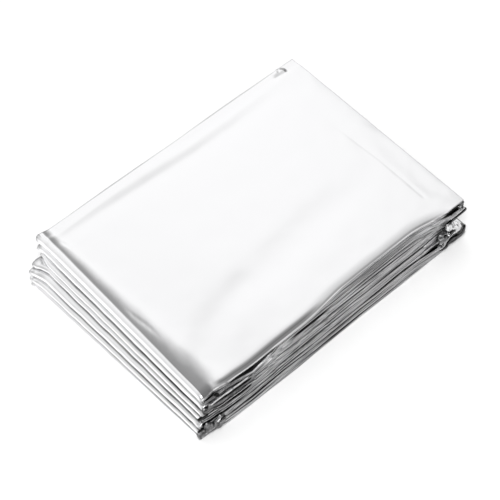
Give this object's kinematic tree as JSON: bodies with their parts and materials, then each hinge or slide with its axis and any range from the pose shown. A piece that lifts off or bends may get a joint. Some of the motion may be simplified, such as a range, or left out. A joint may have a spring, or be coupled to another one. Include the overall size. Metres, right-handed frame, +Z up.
{
  "type": "folded emergency foil blanket",
  "caption": "Thin metallised film blanket folded back and forth into a flat rectangular pack, its soft folds along one short side and its layer edges along the long sides.",
  "frame": {"origin": "middle of the pack's footprint, on the surface that it lies on", "axes": "+X along the pack's length towards the free ends of the top and bottom leaves, +Y across its width, +Z up through the leaves"},
  "size_m": [0.128, 0.0876, 0.0242],
  "materials": {
    "aluminised_film": "bright mirror-like metallised polyester film, finely wrinkled"
  },
  "bodies": {
    "root": {"blanket": "aluminised_film"}
  },
  "joints": []
}
